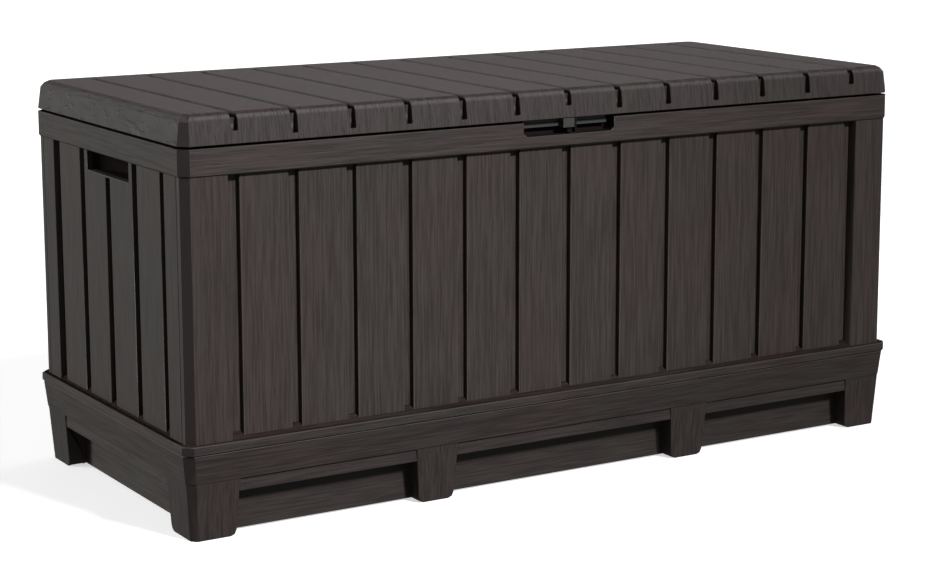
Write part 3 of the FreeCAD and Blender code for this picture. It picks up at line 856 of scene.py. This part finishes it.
@dataclass
class Fastener:
    """Screw with a domed head and a round socket."""

    head_radius: float
    head_height: float
    shank_radius: float
    shank_length: float
    sides: int = 20

    def profile(self) -> list[tuple[float, float]]:
        """Outline from the tip of the shank to the bottom of the socket, seat at height 0."""
        r, h, s, n = self.head_radius, self.head_height, self.shank_radius, self.shank_length
        return [(0.0, -n), (s * 0.55, -n), (s, -n + s), (s, 0.0), (r, 0.0), (r, h * 0.35),
                (r * 0.93, h * 0.62), (r * 0.72, h * 0.90), (r * 0.50, h), (r * 0.44, h * 0.92),
                (r * 0.36, h * 0.30), (0.0, h * 0.22)]

    def add(self, bm: bmesh.types.BMesh, seat: Point, out: Point) -> None:
        """Add one screw with the underside of its head at seat, its head facing out."""
        turn = Vector(out).to_track_quat("Z", "X").to_matrix().to_4x4()
        lathe(bm, self.profile(), self.sides, Matrix.Translation(seat) @ turn)


@dataclass
class Fastenings:
    """All the screws of the box, in the three groups that the CAD has."""

    big: Fastener = field(default_factory=lambda: Fastener(0.0040, 0.0020, 0.0020, 0.0100))
    small: Fastener = field(default_factory=lambda: Fastener(0.0024, 0.0015, 0.0015, 0.0035))
    base_spread: float = 0.034               # from the middle of a hinge to its base's screws
    leaf_spread: float = 0.013               # and to its leaf's screws

    def group(self, node: str, body: Body, screw: Fastener, places: Iterable[tuple[Point, Point]],
              finish: Finish = ZINC) -> None:
        """Make one group of screws as a piece.

        Args:
            node: CAD node that the group replaces.
            body: Part of the box that it moves with.
            screw: Kind of screw.
            places: Seat of each head and the way it faces.
            finish: Finish of the screws.
        """
        bm = bmesh.new()
        for seat, out in places:
            screw.add(bm, seat, out)
        bmesh.ops.recalc_face_normals(bm, faces=bm.faces)
        keep_piece(node + "_turned", bm, body, (finish,), [node])

    def build(self) -> None:
        """Make the three groups."""
        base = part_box("hinge_base_screws")
        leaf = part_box("hinge_leaf_screws")
        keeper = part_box("keeper_screws")
        head = self.big.head_height
        r = self.big.head_radius
        self.group("hinge_base_screws", Body.BOX, self.big,
                   [((x + dx, base[1].y - head, z), (0, 1, 0)) for x in HINGE_X
                    for dx in (-self.base_spread, self.base_spread)
                    for z in (base[0].z + r, base[1].z - r)])
        self.group("hinge_leaf_screws", Body.LID, self.big,
                   [((x + dx, (leaf[0].y + leaf[1].y) / 2, leaf[0].z + head), (0, 0, -1))
                    for x in HINGE_X for dx in (-self.leaf_spread, self.leaf_spread)])
        small = self.small.head_radius
        row = (keeper[0].y + keeper[1].y) / 2
        seat = keeper[1].z - self.small.head_height
        self.group("keeper_screws", Body.BOX, self.small,
                   [((x, row, seat), (0, 0, 1))
                    for x in (keeper[0].x + small, keeper[1].x - small)], BLACKENED)


@dataclass
class HingePin:
    """Pin with a low domed head at each end."""

    name: str
    radius: float = 0.0030
    head_length: float = 0.0016
    dome: tuple[float, float] = (0.0004, 0.0009)   # how far the dome drops at two of its rings
    sides: int = 24

    def build(self) -> None:
        """Make the pin along X."""
        node = "hinge_pin_" + self.name
        low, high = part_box(node)
        half = (high.x - low.x) / 2
        head = (high.z - low.z) / 2
        neck = half - self.head_length
        end = [(0.0, half), (head * 0.55, half), (head * 0.9, half - self.dome[0]),
               (head, half - self.dome[1]), (head, neck), (self.radius, neck)]
        profile = [(r, -z) for r, z in end] + end[::-1]
        bm = bmesh.new()
        turn = Matrix.Rotation(math.pi / 2, 4, "Y")
        lathe(bm, profile, self.sides, Matrix.Translation((low + high) / 2) @ turn)
        bmesh.ops.recalc_face_normals(bm, faces=bm.faces)
        keep_piece(node + "_turned", bm, Body.BOX, (STEEL,), [node])


@dataclass
class RestPads:
    """Rubber pads that carry the closed lid on the rim."""

    spacing: tuple[float, ...] = (-0.560, -0.200, 0.200, 0.560)
    half_length: float = 0.012
    half_width: float = 0.004
    radius: float = 0.0012

    def build(self) -> None:
        """Make the eight pads as one piece."""
        low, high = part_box("lid_rest_pads")
        bm = bmesh.new()
        for x in self.spacing:
            for y in (low.y + self.half_width, high.y - self.half_width):
                block(bm, (x - self.half_length, y - self.half_width, low.z),
                      (x + self.half_length, y + self.half_width, high.z))
        ease(bm, self.radius, lambda middle, way: True)
        keep_piece("lid_rest_pads_rubber", bm, Body.LID, (RUBBER,), ["lid_rest_pads"])


# The whole box and the studio

class StorageBox:
    """All pieces of the box, from the ground up."""

    def build(self) -> None:
        """Build every sub-assembly in order."""
        self.base()
        self.walls()
        self.top()
        self.hinges()
        self.lid()

    def base(self) -> None:
        """Plinth, floor and lower frame."""
        Plinth().build()
        FloorPanel().build()
        LowerFrame().build()

    def walls(self) -> None:
        """Four slatted walls, handle cups and the connectors inside the stiles."""
        for node in ("front_panel", "back_panel", "left_end_panel", "right_end_panel"):
            SlattedWall(node).build()
        for side in ("left", "right"):
            HandleCup(side + "_handle_cup").build()
        for node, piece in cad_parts.items():
            if node.startswith("corner_connector"):
                dress_node(piece, INNER)

    def top(self) -> None:
        """Rim frame with the padlock keeper."""
        RimFrame().build()
        # the keeper inside the finger recess gets the near-black finish of painted shade
        Fitting("lock_keeper", finishes=(PAINTED_SHADE,)).build()

    def hinges(self) -> None:
        """Three hinges, their pins and all screws."""
        for name in HINGE_NAMES:
            Fitting("hinge_base_" + name).build()
            Fitting("hinge_leaf_" + name, body=Body.LID).build()
            HingePin(name).build()
        Fastenings().build()

    def lid(self) -> None:
        """Lid shell, liner, pull lip, lock tab and rest pads."""
        LidShell().build()
        LidLiner().build()
        Fitting("pull_lip", body=Body.LID).build()
        Fitting("lock_tab", body=Body.LID).build()
        RestPads().build()


def dress_node(piece: bpy.types.Object, finish: Finish) -> None:
    """Give a carried-over CAD node a finish, leaving its mesh as it is.

    Args:
        piece: The node's object.
        finish: Finish that it gets.
    """
    for place in piece.material_slots:
        place.material = finish.material()
    if not piece.material_slots:
        piece.data.materials.append(finish.material())


def bearing(azimuth: float, elevation: float) -> Vector:
    """Direction towards a place round the box.

    Args:
        azimuth: Degrees round it, 0 in front and 90 at the right end.
        elevation: Degrees above the ground.

    Returns:
        A vector of length 1.
    """
    a, e = math.radians(azimuth), math.radians(elevation)
    return Vector((math.sin(a) * math.cos(e), -math.cos(a) * math.cos(e), math.sin(e)))


@dataclass(frozen=True)
class WideLight:
    """Far, wide and soft light on the box."""

    name: str
    azimuth: float
    elevation: float
    strength: float
    spread: float
    colour: Colour = (1.0, 1.0, 1.0)
    distance: float = 5.0

    def build(self) -> None:
        """Make the light."""
        lamp = bpy.data.lights.new(self.name, "SUN")
        lamp.energy = self.strength
        lamp.angle = math.radians(self.spread)
        lamp.color = self.colour
        holder = bpy.data.objects.new(self.name, lamp)
        towards = bearing(self.azimuth, self.elevation)
        holder.location = towards * self.distance
        holder.rotation_euler = towards.to_track_quat("Z", "Y").to_euler()
        bpy.context.scene.collection.objects.link(holder)


@dataclass
class Studio:
    """Pale floor, soft lights, white surroundings and the camera."""

    sensor: float = 36.0                     # millimetres, as the lens
    lens: float = 88.05623
    clip: tuple[float, float] = (0.05, 200.0)
    azimuth: float = 32.0                    # how far the view is turned to the right
    elevation: float = 10.15                 # and how far it looks down
    camera_place: Point = (-1.8959, -3.1173, 0.9832)
    shift: tuple[float, float] = (-0.0325, -0.0495)
    floor_half: float = 40.0
    floor_colour: Colour = (0.92, 0.92, 0.92)
    floor_gloss: float = 0.9
    floor_glow: float = 0.6
    white: Colour = (1.0, 1.0, 1.0)
    ambient: float = 0.14
    lights: tuple[WideLight, ...] = (
        WideLight("front_light", 18.0, 36.0, 2.4, 7.0),
        WideLight("end_light", -125.0, 16.0, 2.2, 20.0, (0.95, 1.0, 0.97)),
        WideLight("back_light", 150.0, 16.0, 0.13, 30.0, (1.0, 0.90, 0.92)),
        WideLight("far_end_light", 105.0, 12.0, 1.0, 30.0))
    fill_place: Point = (0.44, -2.85, 2.45)
    fill_target: Point = (-0.50, -0.28, 0.30)
    fill_power: float = 175.0
    fill_colour: Colour = (0.88, 1.0, 1.03)
    fill_size: float = 0.2
    fill_cone: float = 34.0

    def build(self) -> None:
        """Make the floor, the lights, the surroundings and the camera."""
        self.floor()
        for light in self.lights:
            light.build()
        self.fill()
        self.surroundings()
        self.camera()
        bpy.context.scene.view_settings.view_transform = "Standard"

    def fill(self) -> None:
        """Soft spot that lifts the front's left half."""
        lamp = bpy.data.lights.new("fill_light", "SPOT")
        lamp.energy = self.fill_power
        lamp.color = self.fill_colour
        lamp.shadow_soft_size = self.fill_size
        lamp.spot_size = math.radians(self.fill_cone)
        lamp.spot_blend = 1.0
        holder = bpy.data.objects.new("fill_light", lamp)
        holder.location = self.fill_place
        towards = Vector(self.fill_place) - Vector(self.fill_target)
        holder.rotation_euler = towards.to_track_quat("Z", "Y").to_euler()
        bpy.context.scene.collection.objects.link(holder)

    def floor(self) -> None:
        """Pale floor, large enough to fill the view."""
        bm = bmesh.new()
        bmesh.ops.create_grid(bm, x_segments=2, y_segments=2, size=self.floor_half)
        mesh = bpy.data.meshes.new("studio_floor")
        bm.to_mesh(mesh)
        bm.free()
        paint = bpy.data.materials.new("floor_paint")
        paint.use_nodes = True
        Graph(paint.node_tree).wire(paint.node_tree.nodes["Principled BSDF"], {
            "Base Color": opaque(self.floor_colour), "Roughness": self.floor_gloss,
            "Specular IOR Level": 0.0, "Emission Color": opaque(self.white),
            "Emission Strength": self.floor_glow})
        mesh.materials.append(paint)
        ground = bpy.data.objects.new("studio_floor", mesh)
        bpy.context.scene.collection.objects.link(ground)
        ground.visible_diffuse = ground.visible_glossy = False

    def surroundings(self) -> None:
        """Even white surroundings."""
        world = bpy.context.scene.world or bpy.data.worlds.new("studio")
        bpy.context.scene.world = world
        world.use_nodes = True
        Graph(world.node_tree).wire(world.node_tree.nodes["Background"],
                                    {"Color": opaque(self.white), "Strength": self.ambient})

    def camera(self) -> None:
        """Camera at the height and angle of a person a few steps away."""
        eye = bpy.data.cameras.new("camera")
        eye.sensor_width = self.sensor
        eye.lens = self.lens
        eye.shift_x, eye.shift_y = self.shift
        eye.clip_start, eye.clip_end = self.clip
        holder = bpy.data.objects.new("camera", eye)
        holder.location = self.camera_place
        holder.rotation_euler = (math.radians(90.0 - self.elevation), 0.0,
                                 math.radians(-self.azimuth))
        bpy.context.scene.collection.objects.link(holder)
        bpy.context.scene.camera = holder


def main() -> None:
    """Build the box and the studio, logging each piece's face count."""
    logging.basicConfig(level=logging.INFO, format="%(name)s: %(message)s")
    StorageBox().build()
    Studio().build()


if __name__ == "__main__":
    main()
